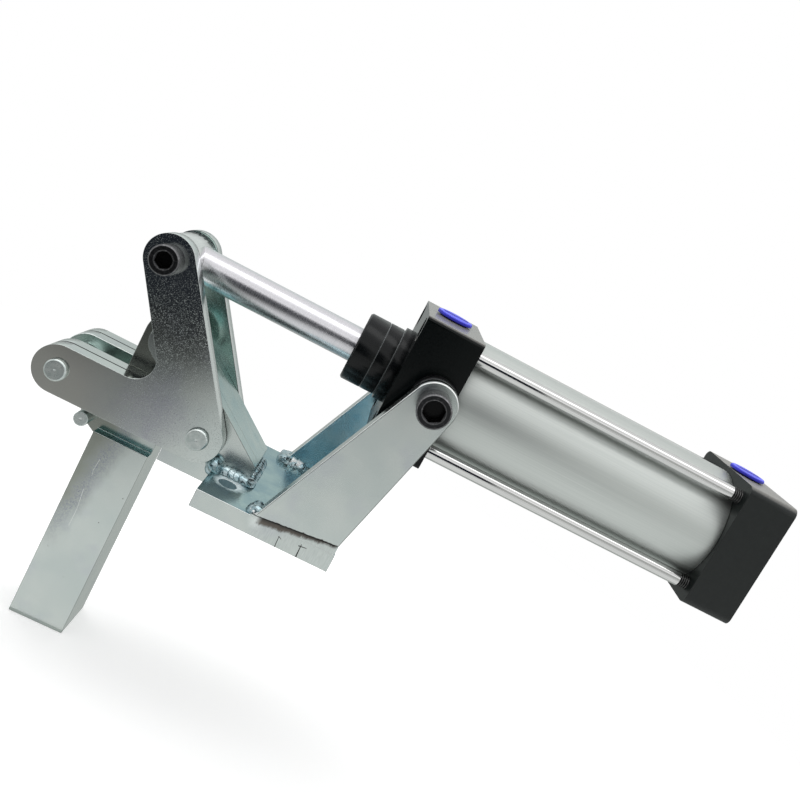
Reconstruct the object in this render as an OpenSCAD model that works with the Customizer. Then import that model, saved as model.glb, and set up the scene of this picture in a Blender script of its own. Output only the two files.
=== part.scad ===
// Pneumatic toggle clamp, shown clamped with the rod out.
// A welded foot carries two bell-crank levers, a pair of toggle links and a clamp arm.
// A cylinder on side trunnions pushes the tops of the levers through its rod eye.
// Origin: middle of the base plate's underside. +X runs towards the cylinder's end cap,
// -Y is the front and +Z is up, square to the base plate.

/* [Base plate] */
// Length of the base plate along the clamp
base_l = 78; // [72:1:84]
// Width of the base plate across the clamp
base_w = 110; // [106:1:118]
// Thickness of the base plate
base_t = 10; // [8:0.5:12]
// Diameter of the four bolt holes
bolt_hole_d = 10.5; // [8:0.5:12]
// Distance between the bolt holes along the base
bolt_pitch_x = 55; // [52:1:58]
// Distance between the bolt holes across the base
bolt_pitch_y = 62.6; // [60:0.2:66]

/* [Welded frame] */
// Thickness of the two frame side plates
side_t = 10; // [8:0.5:11]
// Radius of the frame's nose round the arm pivot
nose_r = 10.3; // [9.5:0.1:10.5]
// How far the foot of the side plates stands out past the base plate
foot_out = 29.4; // [28:0.2:31]
// How far the side plates reach onto the base plate
toe_in = 20; // [18:0.5:24]
// Height of the side plates' blunt toe above the base plate
toe_h = 10.5; // [9:0.5:12]
// Thickness of the web plate between the side plates
web_t = 8; // [6:0.5:9]
// Size of the ripples of weld along the frame
bead_r = 4.6; // [3:0.1:5]

/* [Cylinder brackets] */
// Thickness of the two bracket plates
bracket_t = 10; // [8:0.5:11]
// Radius of the bracket's round top
bracket_r = 12.5; // [11:0.5:14]
// Left end of the bracket's foot, measured from the middle of the base
bracket_foot_x = -7; // [-12:1:0]
// How far the right end of the bracket's foot is set in from the base's end
bracket_inset = 0.5; // [0:0.5:3]
// Height of the ground weld under the left end of the bracket
seam_start = 0.6; // [0.4:0.1:1.2]
// Height of the ground weld under the right end of the bracket
seam_rise = 4.9; // [3:0.1:6]

/* [Pivots] */
// Distance of the lever pivot from the base plate's left end
lever_pivot_out = 13.5; // [12:0.5:15]
// Height of the lever pivot above the base's underside
lever_pivot_h = 24.5; // [23.5:0.5:27]
// Distance from the lever pivot to the link pin
lever_l = 80; // [78:0.5:84]
// Distance from the lever pivot to the rod eye
lever_up_l = 95; // [93:0.5:98]
// Distance from the link pin to the arm's link pin
link_l = 43; // [41:0.5:45]
// Distance from the arm pivot down to the arm's link pin
crank_l = 36; // [35:0.5:38]
// Diameter of the four linkage pins
pin_d = 12; // [10:0.5:13]
// Chamfer of the pin ends
pin_chamfer = 0.8; // [0.4:0.1:1.2]
// How far a pin stands out of the levers
pin_out = 3; // [2:0.5:4]

/* [Levers and links] */
// Thickness of a lever plate
lever_t = 10; // [8:0.5:11]
// Radius of the lever ends
lever_r = 13.3; // [12.5:0.1:14]
// Extra width of the upper lever arm where it meets the lower one
lever_flare = 2.3; // [1:0.1:3]
// Radius of the inner corner of the lever
lever_fillet = 11; // [8:0.5:13]
// Diameter of the spacer between the links
link_spacer_d = 16; // [14.5:0.5:16]

/* [Clamp arm] */
// Width of the square bar, seen from the front
bar_w = 32; // [30:1:34]
// Depth of the square bar, front to back
bar_d = 32; // [30:1:34]
// Length of the bar below its shoulder
bar_l = 117.5; // [100:2.5:130]
// Drop from the arm's link pin to the shoulder
shoulder_drop = 27.2; // [26:0.2:29]
// Thickness of the tongue between the frame plates
tongue_t = 18; // [16:0.5:20]
// Diameter of the stop pin
stop_d = 8; // [6:0.5:9]
// Length of the stop pin
stop_l = 52; // [50:1:58]
// Distance of the stop pin from the bar's left face
stop_out = 6.5; // [6:0.5:8]
// Space between the stop pin and the levers at rest
stop_gap = 3; // [1:0.25:4]
// Thickness of the ear round the stop pin
ear_wall = 2.4; // [2:0.2:3]
// How far the ear reaches down the bar's left face, past the shoulder
ear_reach = 4.5; // [3:0.5:8]

/* [Cylinder] */
// Height of the cylinder's axis above the base's underside
axis_h = 103.5; // [98:0.5:108]
// Distance from the middle of the base to the trunnions
trunnion_x = 47; // [45:0.5:50]
// Distance from the trunnions to the head's rod side
trunnion_back = 22.25; // [20:0.25:24]
// Width and height of the two covers
cover_w = 75; // [73:0.5:78]
// Thickness of the head on the rod side
head_t = 33; // [31:0.5:36]
// Thickness of the end cap
cap_t = 29.2; // [28:0.2:32]
// Rounding of the head's long edges
head_round = 2.4; // [1.5:0.1:4]
// Rounding of the end cap's long edges
cap_round = 4.5; // [2:0.5:5]
// Bore of the cylinder
bore_d = 63; // [60:0.5:64]
// Wall of the cylinder tube
tube_wall = 3; // [2.5:0.25:3.5]
// Stroke of the piston
stroke = 100; // [95:1:120]
// Diameter of the piston rod
rod_d = 20; // [18:0.5:22]
// Thickness of the piston
piston_t = 32; // [28:1:36]
// Length of the spigot that each cover has in the tube
spigot_l = 8; // [7:0.5:9]
// Space left behind the piston at each end of its stroke
end_gap = 8; // [6:0.5:10]
// Travel of the piston that is left over when the clamp is shut
spare_travel = 4; // [2:0.5:5]
// Diameter of the tie rods
tie_d = 8; // [6:0.5:8.5]
// Distance of the tie rods from the middle planes
tie_pitch = 28.25; // [27.5:0.25:29]
// Diameter of the port plugs' rims
plug_d = 21; // [19:0.5:23]
// Height of the port plugs above the covers
plug_h = 2.8; // [2:0.2:4]
// Space under the port plugs' rims
plug_lift = 0.7; // [0.2:0.1:1]
// Distance of the head's port from its rod side
head_port_in = 15.6; // [15:0.2:18]
// Distance of the end cap's port from its tube side
cap_port_in = 11; // [10.6:0.2:16]

/* [Gland and rod eye] */
// Diameter of the gland
gland_d = 40; // [38:0.5:41]
// How far the gland stands out of the head
gland_l = 26.2; // [25:0.2:27]
// Diameter of the gland's flange
gland_flange_d = 43.5; // [42.5:0.5:46]
// Thickness of the gland's flange
gland_flange_t = 5; // [4:0.5:6]
// Diameter of the rod eye
eye_d = 25; // [24:0.5:26]

/* [Screws] */
// Diameter of the rod eye screws
eye_screw_d = 10; // [8:0.5:10]
// Diameter of the rod eye screws' heads
eye_head_d = 16; // [15:0.5:17]
// Height of the rod eye screws' heads
eye_head_h = 10; // [8:0.5:11]
// Hexagon of the rod eye screws, across its flats
eye_hex = 8; // [6:0.5:9]
// Diameter of the trunnion screws
trunnion_d = 12; // [10:0.5:14]
// Diameter of the trunnion screws' heads
trunnion_head_d = 18; // [17:0.5:20]
// Height of the trunnion screws' heads
trunnion_head_h = 12; // [10:0.5:13]
// Hexagon of the trunnion screws, across its flats
trunnion_hex = 10; // [8:0.5:11]
// Diameter of the spacer rings on the trunnion screws
spacer_d = 25.5; // [23:0.5:28]

/* [Clearances] */
// Radial clearance of a pin that turns or slides in its hole
run_gap = 0.05; // [0.02:0.01:0.09]
// Space between flat faces that move past each other
face_gap = 0.5; // [0.3:0.05:0.7]
// Space between flat faces that only just clear each other
seat_gap = 0.1; // [0.05:0.05:0.2]

/* [Hidden] */
$fn = 64;
big = 400;
cut = 1;

// Straight edges lie this far inside the arcs that they run into, so that they cross
edge_in = 0.02;

// Depth of each layer of plates, outwards from the middle plane
side_in = tongue_t / 2 + face_gap;
side_out = side_in + side_t;
lever_in = side_out + face_gap;
lever_out = lever_in + lever_t;
pin_half = lever_out + pin_out;
bracket_out = base_w / 2;
bracket_in = bracket_out - bracket_t;

// Ends of the base plate
base_left = -base_l / 2;
base_right = base_l / 2;
foot_left = base_left - foot_out;

// Pivots in the XZ plane, with the three toggle pins in one line
lever_pivot = [base_left - lever_pivot_out, lever_pivot_h];
link_pin_at = lever_pivot - [lever_l, 0];
arm_pin_at = link_pin_at + [link_l, 0];
arm_pivot = arm_pin_at + [0, crank_l];
eye_rise = axis_h - lever_pivot_h;
eye_at = [lever_pivot[0] - sqrt(lever_up_l * lever_up_l - eye_rise * eye_rise), axis_h];
trunnion = [trunnion_x, axis_h];

// Clamp arm
bar_left = arm_pivot[0] - bar_w / 2;
bar_right = arm_pivot[0] + bar_w / 2;
shoulder_z = arm_pin_at[1] - shoulder_drop;
stop_at = [bar_left - stop_out, lever_pivot_h - lever_r - stop_gap - stop_d / 2];

// Cylinder along its axis
head_x = trunnion_x - trunnion_back;
tube_x = head_x + head_t;
tube_l = stroke + piston_t + 2 * (spigot_l + end_gap);
cap_x = tube_x + tube_l;
cap_end = cap_x + cap_t;
gland_x = head_x - gland_l;
piston_x = tube_x + spigot_l + end_gap + spare_travel;
cover_half = cover_w / 2;
tube_d = bore_d + 2 * tube_wall;

// Gland and what it holds
gland_spigot_d = 36;
gland_spigot_l = 15;
gland_chamfer = 1;
groove_w = 0.5;
groove_deep = 0.4;
gland_grooves = [12, 20.2];
bush_wall = 2;
bush_set = 9;
bush_land = 1.2;
wiper_wall = 3.5;
wiper_l = 5;
rod_seal_wall = 5;
rod_seal_l = 7;
rod_free = 0.5;
gland_end = head_x + gland_spigot_l;
rod_seal_x = gland_end - rod_seal_l;
bush_end = rod_seal_x - bush_land;

// Piston group
neck_d = 16;
sleeve_d = 30;
sleeve_l = 16;
sleeve_chamfer = 1.5;
cushion_gap = 1;
cushion_l = 20;
piston_gap = 0.1;
ring_deep = 4;
piston_ring_w = 5;
piston_ring_set = 4.5;
wear_w = 8;
wear_deep = 2;
oring_w = 3;
oring_deep = 2.2;

// Tie rods, nuts and ports
nut_d = 13;
nut_l = 7;
nut_sink = 8;
nut_gap = 0.5;
tie_past = 2;
port_d = 17;
port_depth = 12;
air_d = 6;
plug_in = 10;
plug_slot_w = 2.4;
plug_slot_l = 14;
plug_slot_deep = 1.6;
plug_chamfer = 0.6;

// Screws and pins: depth of the hexagon as a share of the head, extra width of its mouth
hex_deep = 0.55;
head_chamfer = 0.9;
hex_mouth = 0.5;
mark_d = 1.2;
mark_deep = 0.4;
screw_in = 14;

// Space between the web plate and the back of the arm
web_gap = 2;

// Weld ripples and blobs
ripple_pitch = 3.4;
ripple_fall = 0.84;
inner_bead_l = 11;
blob_in = 5;

// Small geometry helpers
function unit(v) = v / norm(v);
function right_of(v) = [v[1], -v[0]];
function along(a, b, s) = a + s * (b - a);

// Point where the line from f touches the circle at c, on the left (side 1) or right (-1)
function touch(f, c, r, side) =
    let (d = c - f, a = atan2(d[1], d[0]) + side * asin(r / norm(d)))
    f + sqrt(d * d - r * r) * [cos(a), sin(a)];

// Outlines in the XZ plane, each thickened from y0 to y1
module plate(y0, y1) {
    for (i = [0:$children - 1]) {
        translate([0, y1, 0]) rotate([90, 0, 0]) linear_extrude(y1 - y0) children(i);
    }
}

// Round bar across the clamp
module bar_y(at, d, y0, y1) {
    translate([at[0], y1, at[1]]) rotate([90, 0, 0]) cylinder(d = d, h = y1 - y0);
}

// Round bar on the cylinder's axis, or beside it
module bar_x(d, x0, x1, y = 0, z = 0) {
    translate([x0, y, axis_h + z]) rotate([0, 90, 0]) cylinder(d = d, h = x1 - x0);
}

// Tube on the cylinder's axis
module ring_x(d_out, d_in, x0, x1) {
    difference() {
        bar_x(d_out, x0, x1);
        bar_x(d_in, x0 - cut, x1 + cut);
    }
}

// Hole for a pin through all the plates
module hole_y(at, d) {
    bar_y(at, d, -big, big);
}

// Tapered disc across the clamp, from y0 with diameter d0 to y1 with diameter d1
module cone_y(at, y0, d0, y1, d1) {
    translate([at[0], y0, at[1]]) rotate([-90, 0, 0]) cylinder(d1 = d0, d2 = d1, h = y1 - y0);
}

// Pin across the clamp with chamfered ends and a centre mark in each end
module pin_y(at, d, half, chamfer) {
    difference() {
        union() {
            bar_y(at, d, -half + chamfer, half - chamfer);
            for (s = [-1, 1]) {
                cone_y(at, s < 0 ? -half : half - chamfer, s < 0 ? d - 2 * chamfer : d,
                       s < 0 ? chamfer - half : half, s < 0 ? d : d - 2 * chamfer);
            }
        }
        cone_y(at, -half - mark_deep, 2 * mark_d, -half + mark_deep, 0);
        cone_y(at, half - mark_deep, 0, half + mark_deep, 2 * mark_d);
    }
}

// Socket screw that comes in from the front: head seat at y, shank to y_end
module screw_front(at, d, head_d, head_h, hex, y, y_end) {
    hex_wide = hex / cos(30);
    mouth_d = hex_wide + hex_mouth;
    difference() {
        union() {
            bar_y(at, d, y, y_end);
            bar_y(at, head_d, y - head_h + head_chamfer, y);
            cone_y(at, y - head_h, head_d - 2 * head_chamfer, y - head_h + head_chamfer, head_d);
        }
        translate([at[0], y - head_h * (1 - hex_deep), at[1]]) rotate([90, 30, 0])
            cylinder(d = hex_wide, h = head_h, $fn = 6);
        cone_y(at, y - head_h - cut, mouth_d + 2 * cut, y - head_h + mouth_d / 2, 0);
    }
}

// The same screw on both sides
module screw_pair(at, d, head_d, head_h, hex, y, y_end) {
    screw_front(at, d, head_d, head_h, hex, y, y_end);
    mirror([0, 1, 0]) screw_front(at, d, head_d, head_h, hex, y, y_end);
}

// Straight strap of half width r between two points, with round ends
module strap(a, b, r) {
    side = r * right_of(unit(b - a));
    translate(a) circle(r);
    translate(b) circle(r);
    polygon([a + side, b + side, b - side, a - side]);
}

// Fill of radius r in the inner corner between two edges that leave the corner along u and v
module corner_fill(corner, u, v, r) {
    half = acos(u * v) / 2;
    reach = r / tan(half);
    inwards = unit(u + v);
    difference() {
        polygon([corner + reach * u, corner + reach * v, corner - r / 2 * inwards]);
        translate(corner + (r - edge_in) / sin(half) * inwards) circle(r);
    }
}

// Base plate with its four bolt holes
module base_plate() {
    color("silver") difference() {
        translate([base_left, -base_w / 2, 0]) cube([base_l, base_w, base_t]);
        for (x = [-1, 1], y = [-1, 1]) {
            translate([x * bolt_pitch_x / 2, y * bolt_pitch_y / 2, -cut])
                cylinder(d = bolt_hole_d, h = base_t + 2 * cut);
        }
    }
}

// Sloping top edge of the frame: from the toe to where it touches the round nose
toe_x = base_left + toe_in;
toe_top = [toe_x, base_t + toe_h];
nose_top = touch(toe_top, arm_pivot, nose_r, -1);
strap_dir = unit(toe_top - nose_top);
nose_low = 2 * arm_pivot - nose_top;
strap_low = nose_low + (foot_left - nose_low[0]) / strap_dir[0] * strap_dir;

module frame_outline() {
    translate(arm_pivot) circle(nose_r);
    polygon([
        toe_top, nose_top, nose_low, strap_low, [foot_left, 0], [base_left, 0],
        [base_left, base_t], [toe_x, base_t]
    ]);
}

module frame_side(y0) {
    color("silver") difference() {
        plate(y0, y0 + side_t) frame_outline();
        hole_y(arm_pivot, pin_d);
        hole_y(lever_pivot, pin_d);
    }
}

module frame_side_front() {
    frame_side(-side_out);
}

module frame_side_rear() {
    frame_side(side_in);
}

// Web plate let in flush between the side plates, clear of the arm's tongue
module frame_web() {
    web_x = bar_right + web_gap;
    drop = web_t * right_of(strap_dir);
    color("silver") plate(-side_in, side_in) intersection() {
        polygon([nose_top, toe_top + big * strap_dir, toe_top + big * strap_dir + drop, nose_top + drop]);
        translate([web_x, base_t]) square([toe_x - web_x, big]);
    }
}

// Quarter round run of weld along Z: overlapping ripples, like coins laid on each other
module ripples(l) {
    count = round(l / ripple_pitch);
    step = l / count;
    rotate_extrude(angle = 90, $fn = 32) polygon([
        [0, 0],
        for (i = [0:count - 1], end = [0, 1]) [bead_r * (end == 0 ? 1 : ripple_fall), (i + end) * step],
        [0, l]
    ]);
}

// Run of weld along X on the base plate, against the face at y, on its side s
module bead_x(x0, x1, y, s) {
    translate([x0, y, base_t]) rotate([0, 90, 0]) rotate(s > 0 ? 90 : 180) ripples(x1 - x0);
}

// Weld along both sides of the frame and across its blunt toe, with a lump at each start
// and at each corner of the toe
module frame_welds() {
    color("lightsteelblue") {
        for (s = [-1, 1]) {
            bead_x(base_left, toe_x, s * side_out, s);
        }
        translate([toe_x, -side_out, base_t]) rotate([-90, 0, 0]) rotate(-90) ripples(2 * side_out);
        difference() {
            for (x = [base_left, toe_x], y = [-side_out, side_out]) {
                translate([x, y, base_t]) sphere(bead_r, $fn = 32);
            }
            translate([base_left, -base_w / 2, 0]) cube([base_l, base_w, base_t]);
            translate([toe_x - big, -side_out, 0]) cube([big, 2 * side_out, big]);
        }
    }
}

// Cylinder bracket: a tapering plate with a round top and a slanted foot
bracket_left = [bracket_foot_x, base_t + seam_start];
bracket_right = [base_right - bracket_inset, base_t + seam_rise];
bracket_rim = touch(bracket_left, trunnion, bracket_r - edge_in, 1);

module bracket_blank(y0) {
    plate(y0, y0 + bracket_t) {
        translate(trunnion) circle(bracket_r);
        polygon([
            bracket_left, bracket_rim, trunnion,
            touch(bracket_right, trunnion, bracket_r - edge_in, -1), bracket_right
        ]);
    }
}

module bracket(y0) {
    color("silver") difference() {
        bracket_blank(y0);
        hole_y(trunnion, trunnion_d + 2 * run_gap);
    }
}

module bracket_front() {
    bracket(-bracket_out);
}

module bracket_rear() {
    bracket(bracket_in);
}

// Weld under each bracket, ground flush with its faces, with a short run inside it
// and a blob at its left corner
module bracket_welds() {
    start = bracket_foot_x - bead_r / 2;
    color("lightsteelblue") for (s = [-1, 1]) {
        y0 = s > 0 ? bracket_in : -bracket_out;
        plate(y0, y0 + bracket_t) polygon([
            [start, base_t], [bracket_right[0], base_t], bracket_right,
            bracket_left, [start, bracket_left[1]]
        ]);
        bead_x(bracket_foot_x, bracket_foot_x + inner_bead_l, s * bracket_in, -s);
        intersection() {
            translate([bracket_foot_x, s * (bracket_out - blob_in), base_t]) sphere(bead_r, $fn = 32);
            plate(y0, y0 + bracket_t) polygon([
                [bracket_foot_x - 2 * bead_r, base_t], [bracket_foot_x, base_t], bracket_left,
                bracket_rim, [bracket_foot_x - 2 * bead_r, bracket_rim[1]]
            ]);
        }
    }
}

// Fixed pin that the clamp arm swings on
module arm_pivot_pin() {
    color("gainsboro") bar_y(arm_pivot, pin_d, -side_out, side_out);
}

// Fixed pin that the levers swing on
module lever_pivot_pin() {
    color("gainsboro") pin_y(lever_pivot, pin_d, pin_half, pin_chamfer);
}

// Bell crank: one arm to the link pin, a slightly flared arm up to the rod eye
module lever_blank(y0) {
    side = right_of(unit(lever_pivot - eye_at));
    half = lever_r - edge_in;
    top_left = eye_at + half * side;
    low_left = lever_pivot + (half + lever_flare) * side;
    top_right = eye_at - half * side;
    low_right = lever_pivot - half * side;
    arm_top = lever_pivot_h + lever_r;
    corner = along(top_left, low_left, (arm_top - top_left[1]) / (low_left[1] - top_left[1]));
    plate(y0, y0 + lever_t) {
        strap(lever_pivot, link_pin_at, lever_r);
        translate(eye_at) circle(lever_r);
        polygon([top_left, top_right, low_right, low_left]);
        corner_fill(corner, [-1, 0], unit(top_left - corner), lever_fillet);
    }
}

module lever(y0) {
    color("silver") difference() {
        lever_blank(y0);
        hole_y(lever_pivot, pin_d + 2 * run_gap);
        hole_y(link_pin_at, pin_d);
        hole_y(eye_at, eye_screw_d);
    }
}

module lever_front() {
    lever(-lever_out);
}

module lever_rear() {
    lever(lever_in);
}

// Pin fixed in the levers, on which the links turn
module link_pin() {
    color("gainsboro") pin_y(link_pin_at, pin_d, pin_half, pin_chamfer);
}

// Socket screws through the tops of the levers
module lever_screws() {
    color([0.12, 0.12, 0.13])
        screw_pair(eye_at, eye_screw_d, eye_head_d, eye_head_h, eye_hex, -lever_out, -lever_in);
}

module link(y0) {
    color("silver") difference() {
        plate(y0, y0 + side_t) strap(link_pin_at, arm_pin_at, lever_r);
        hole_y(link_pin_at, pin_d + 2 * run_gap);
        hole_y(arm_pin_at, pin_d);
    }
}

module link_front() {
    link(-side_out);
}

module link_rear() {
    link(side_in);
}

// Spacer that keeps the links apart on the link pin
module link_spacer() {
    color("gainsboro") difference() {
        bar_y(link_pin_at, link_spacer_d, -side_in, side_in);
        hole_y(link_pin_at, pin_d + 2 * run_gap);
    }
}

// Ends of the arm's link pin, fixed in the links
module arm_link_pin_ends() {
    color("gainsboro") for (y = [-side_out, side_in]) {
        bar_y(arm_pin_at, pin_d, y, y + side_t);
    }
}

// Clamp arm: square bar, tongue with a round top, and an ear for the stop pin
module clamp_arm() {
    ear_r = stop_d / 2 + ear_wall;
    ear_foot = [bar_left, shoulder_z - ear_reach];
    color("silver") difference() {
        union() {
            translate([bar_left, -bar_d / 2, shoulder_z - bar_l]) cube([bar_w, bar_d, bar_l]);
            plate(-tongue_t / 2, tongue_t / 2) {
                translate(arm_pivot) circle(bar_w / 2);
                polygon([
                    [bar_left, arm_pivot[1]], [bar_right, arm_pivot[1]],
                    [bar_right, shoulder_z - cut], [bar_left, shoulder_z - cut]
                ]);
                translate(stop_at) circle(ear_r);
                polygon([
                    stop_at + [0, ear_r], [bar_left + cut, stop_at[1] + ear_r],
                    ear_foot + [cut, 0], ear_foot, touch(ear_foot, stop_at, ear_r, 1)
                ]);
            }
        }
        hole_y(arm_pivot, pin_d + 2 * run_gap);
        hole_y(arm_pin_at, pin_d);
        hole_y(stop_at, stop_d);
    }
}

// Middle of the arm's link pin, fixed in the tongue
module arm_link_pin() {
    color("gainsboro") bar_y(arm_pin_at, pin_d, -tongue_t / 2, tongue_t / 2);
}

// Stop pin across the arm, just under the levers
module stop_pin() {
    color("gainsboro") pin_y(stop_at, stop_d, stop_l / 2, pin_chamfer / 2);
}

// Piston rod: screwed into the rod eye, with a thinner neck through the piston
module piston_rod() {
    color("whitesmoke") {
        bar_x(rod_d, eye_at[0] + eye_screw_d / 2 + run_gap, piston_x);
        bar_x(neck_d, piston_x, piston_x + piston_t + sleeve_l);
    }
}

// Rod eye: a round cross barrel between the levers
module rod_eye() {
    half = lever_in - face_gap;
    color("silver") difference() {
        bar_y(eye_at, eye_d, -half, half);
        hole_y(eye_at, eye_screw_d);
        bar_x(rod_d, eye_at[0], eye_at[0] + eye_d);
    }
}

// Pin through the rod eye
module rod_eye_pin() {
    color("gainsboro") bar_y(eye_at, eye_screw_d, face_gap - lever_in, lever_in - face_gap);
}

// Piston with two seal grooves and a wear ring groove between them
piston_d = bore_d - 2 * piston_gap;
seal_at = [piston_x + piston_ring_set, piston_x + piston_t - piston_ring_set - piston_ring_w];
wear_x = piston_x + (piston_t - wear_w) / 2;

module piston() {
    color("silver") difference() {
        bar_x(piston_d, piston_x, piston_x + piston_t);
        bar_x(neck_d, piston_x - cut, piston_x + piston_t + cut);
        for (x = seal_at) {
            ring_x(bore_d + cut, piston_d - 2 * ring_deep, x, x + piston_ring_w);
        }
        ring_x(bore_d + cut, piston_d - 2 * wear_deep, wear_x, wear_x + wear_w);
    }
}

module piston_seals() {
    color([0.1, 0.1, 0.1]) for (x = seal_at) {
        ring_x(bore_d - 2 * run_gap, piston_d - 2 * ring_deep, x, x + piston_ring_w);
    }
}

module wear_ring() {
    color("saddlebrown") ring_x(bore_d - 2 * run_gap, piston_d - 2 * wear_deep, wear_x, wear_x + wear_w);
}

// Cushion sleeves before and behind the piston, which choke the air at the ends of the stroke
module cushion_sleeves() {
    back_x = piston_x + piston_t;
    color("gainsboro") {
        difference() {
            union() {
                bar_x(sleeve_d, piston_x - sleeve_l + sleeve_chamfer, piston_x);
                translate([piston_x - sleeve_l, 0, axis_h]) rotate([0, 90, 0])
                    cylinder(d1 = sleeve_d - 2 * sleeve_chamfer, d2 = sleeve_d, h = sleeve_chamfer);
            }
            bar_x(rod_d, piston_x - sleeve_l - cut, piston_x + cut);
        }
        difference() {
            union() {
                bar_x(sleeve_d, back_x, back_x + sleeve_l - sleeve_chamfer);
                translate([back_x + sleeve_l - sleeve_chamfer, 0, axis_h]) rotate([0, 90, 0])
                    cylinder(d1 = sleeve_d, d2 = sleeve_d - 2 * sleeve_chamfer, h = sleeve_chamfer);
            }
            bar_x(neck_d, back_x - cut, back_x + sleeve_l + cut);
        }
    }
}

// Square cover with rounded long edges
module cover_block(x0, x1, r) {
    w = cover_half - r;
    translate([x0, 0, axis_h]) rotate([0, 90, 0]) linear_extrude(x1 - x0) {
        square([cover_w, 2 * w], center = true);
        square([2 * w, cover_w], center = true);
        for (a = [-1, 1], b = [-1, 1]) {
            translate([a * w, b * w]) circle(r);
        }
    }
}

module at_tie_rods() {
    for (a = [-1, 1], b = [-1, 1]) {
        translate([0, a * tie_pitch, b * tie_pitch]) children();
    }
}

// Port in the top of a cover, with a drilling into the cushion bore
module port(x) {
    top = axis_h + cover_half;
    translate([x, 0, top - port_depth]) cylinder(d = port_d, h = port_depth + cut);
    translate([x, 0, axis_h]) cylinder(d = air_d, h = cover_half);
}

// Spigot of a cover inside the tube, with a groove for its seal
module spigot(x0, seal_x) {
    difference() {
        bar_x(bore_d, x0, x0 + spigot_l);
        ring_x(bore_d + cut, bore_d - 2 * oring_deep, seal_x, seal_x + oring_w);
    }
}

head_seal_x = tube_x + (spigot_l - oring_w) / 2;
cap_seal_x = cap_x - (spigot_l + oring_w) / 2;
head_port_x = head_x + head_port_in;
cap_port_x = cap_x + cap_port_in;

// Head on the rod side: trunnion threads in its sides, port on top
module cylinder_head() {
    color([0.1, 0.1, 0.11]) difference() {
        union() {
            cover_block(head_x, tube_x, head_round);
            spigot(tube_x, head_seal_x);
        }
        bar_x(gland_spigot_d, head_x - cut, gland_end);
        bar_x(rod_d + 2 * rod_free, head_x, tube_x);
        bar_x(sleeve_d + 2 * cushion_gap, tube_x + spigot_l - cushion_l, tube_x + spigot_l + cut);
        at_tie_rods() {
            bar_x(tie_d, head_x - cut, tube_x + cut);
            bar_x(nut_d + 2 * nut_gap, head_x - cut, head_x + nut_sink);
        }
        bar_y(trunnion, trunnion_d, -cover_half - cut, screw_in - cover_half);
        bar_y(trunnion, trunnion_d, cover_half - screw_in, cover_half + cut);
        port(head_port_x);
    }
}

// Gland that guides the rod: turned nose, flange against the head, spigot inside it
module rod_gland() {
    flange_x = head_x - gland_flange_t;
    color([0.1, 0.1, 0.11]) difference() {
        union() {
            bar_x(gland_d, gland_x + gland_chamfer, head_x);
            translate([gland_x, 0, axis_h]) rotate([0, 90, 0])
                cylinder(d1 = gland_d - 2 * gland_chamfer, d2 = gland_d, h = gland_chamfer);
            bar_x(gland_flange_d, flange_x, head_x);
            bar_x(gland_spigot_d, head_x, gland_end);
        }
        for (g = gland_grooves) {
            ring_x(gland_flange_d + cut, gland_d - 2 * groove_deep, gland_x + g, gland_x + g + groove_w);
        }
        bar_x(rod_d + 2 * rod_free, gland_x - cut, gland_end + cut);
        bar_x(rod_d + 2 * wiper_wall, gland_x - cut, gland_x + wiper_l);
        bar_x(rod_d + 2 * bush_wall, gland_x + bush_set, bush_end);
        bar_x(rod_d + 2 * rod_seal_wall, rod_seal_x, gland_end + cut);
    }
}

module rod_bush() {
    color("darkgoldenrod")
        ring_x(rod_d + 2 * bush_wall, rod_d + 2 * run_gap, gland_x + bush_set, bush_end);
}

module rod_wiper() {
    color([0.08, 0.08, 0.08]) ring_x(rod_d + 2 * wiper_wall, rod_d + 2 * run_gap, gland_x, gland_x + wiper_l);
}

module rod_seal() {
    color([0.08, 0.08, 0.08])
        ring_x(rod_d + 2 * rod_seal_wall, rod_d + 2 * run_gap, rod_seal_x, gland_end);
}

module cylinder_tube() {
    color("lightgray") ring_x(tube_d, bore_d, tube_x, cap_x);
}

module tube_seals() {
    color([0.08, 0.08, 0.08]) for (x = [head_seal_x, cap_seal_x]) {
        ring_x(bore_d, bore_d - 2 * oring_deep, x, x + oring_w);
    }
}

module end_cap() {
    color([0.1, 0.1, 0.11]) difference() {
        union() {
            cover_block(cap_x, cap_end, cap_round);
            spigot(cap_x - spigot_l, cap_seal_x);
        }
        bar_x(sleeve_d + 2 * cushion_gap, cap_x - spigot_l - cut, cap_x - spigot_l + cushion_l);
        at_tie_rods() {
            bar_x(tie_d, cap_x - cut, cap_end + cut);
            bar_x(nut_d + 2 * nut_gap, cap_end - nut_sink, cap_end + cut);
        }
        port(cap_port_x);
    }
}

module tie_rods() {
    color("gainsboro") at_tie_rods() bar_x(tie_d, head_x + tie_past, cap_end - tie_past);
}

// Round nuts sunk in the corners of both covers
module tie_nut(x0, x1) {
    difference() {
        bar_x(nut_d, x0, x1);
        bar_x(tie_d, x0 - cut, x1 + cut);
    }
}

module tie_rod_nuts() {
    color([0.15, 0.15, 0.16]) at_tie_rods() {
        tie_nut(head_x + nut_sink - nut_l, head_x + nut_sink);
        tie_nut(cap_end - nut_sink, cap_end - nut_sink + nut_l);
    }
}

// Slotted plug that closes a port
module port_plug(x) {
    top = axis_h + cover_half;
    rim = plug_h - plug_chamfer;
    color("royalblue") difference() {
        union() {
            translate([x, 0, top - plug_in]) cylinder(d = port_d - 2 * seat_gap, h = plug_in + rim);
            translate([x, 0, top + plug_lift]) cylinder(d = plug_d, h = rim - plug_lift);
            translate([x, 0, top + rim])
                cylinder(d1 = plug_d, d2 = plug_d - 2 * plug_chamfer, h = plug_chamfer);
        }
        translate([x - plug_slot_l / 2, -plug_slot_w / 2, top + plug_h - plug_slot_deep])
            cube([plug_slot_l, plug_slot_w, plug_slot_deep + cut]);
    }
}

module port_plug_head() {
    port_plug(head_port_x);
}

module port_plug_cap() {
    port_plug(cap_port_x);
}

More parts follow.
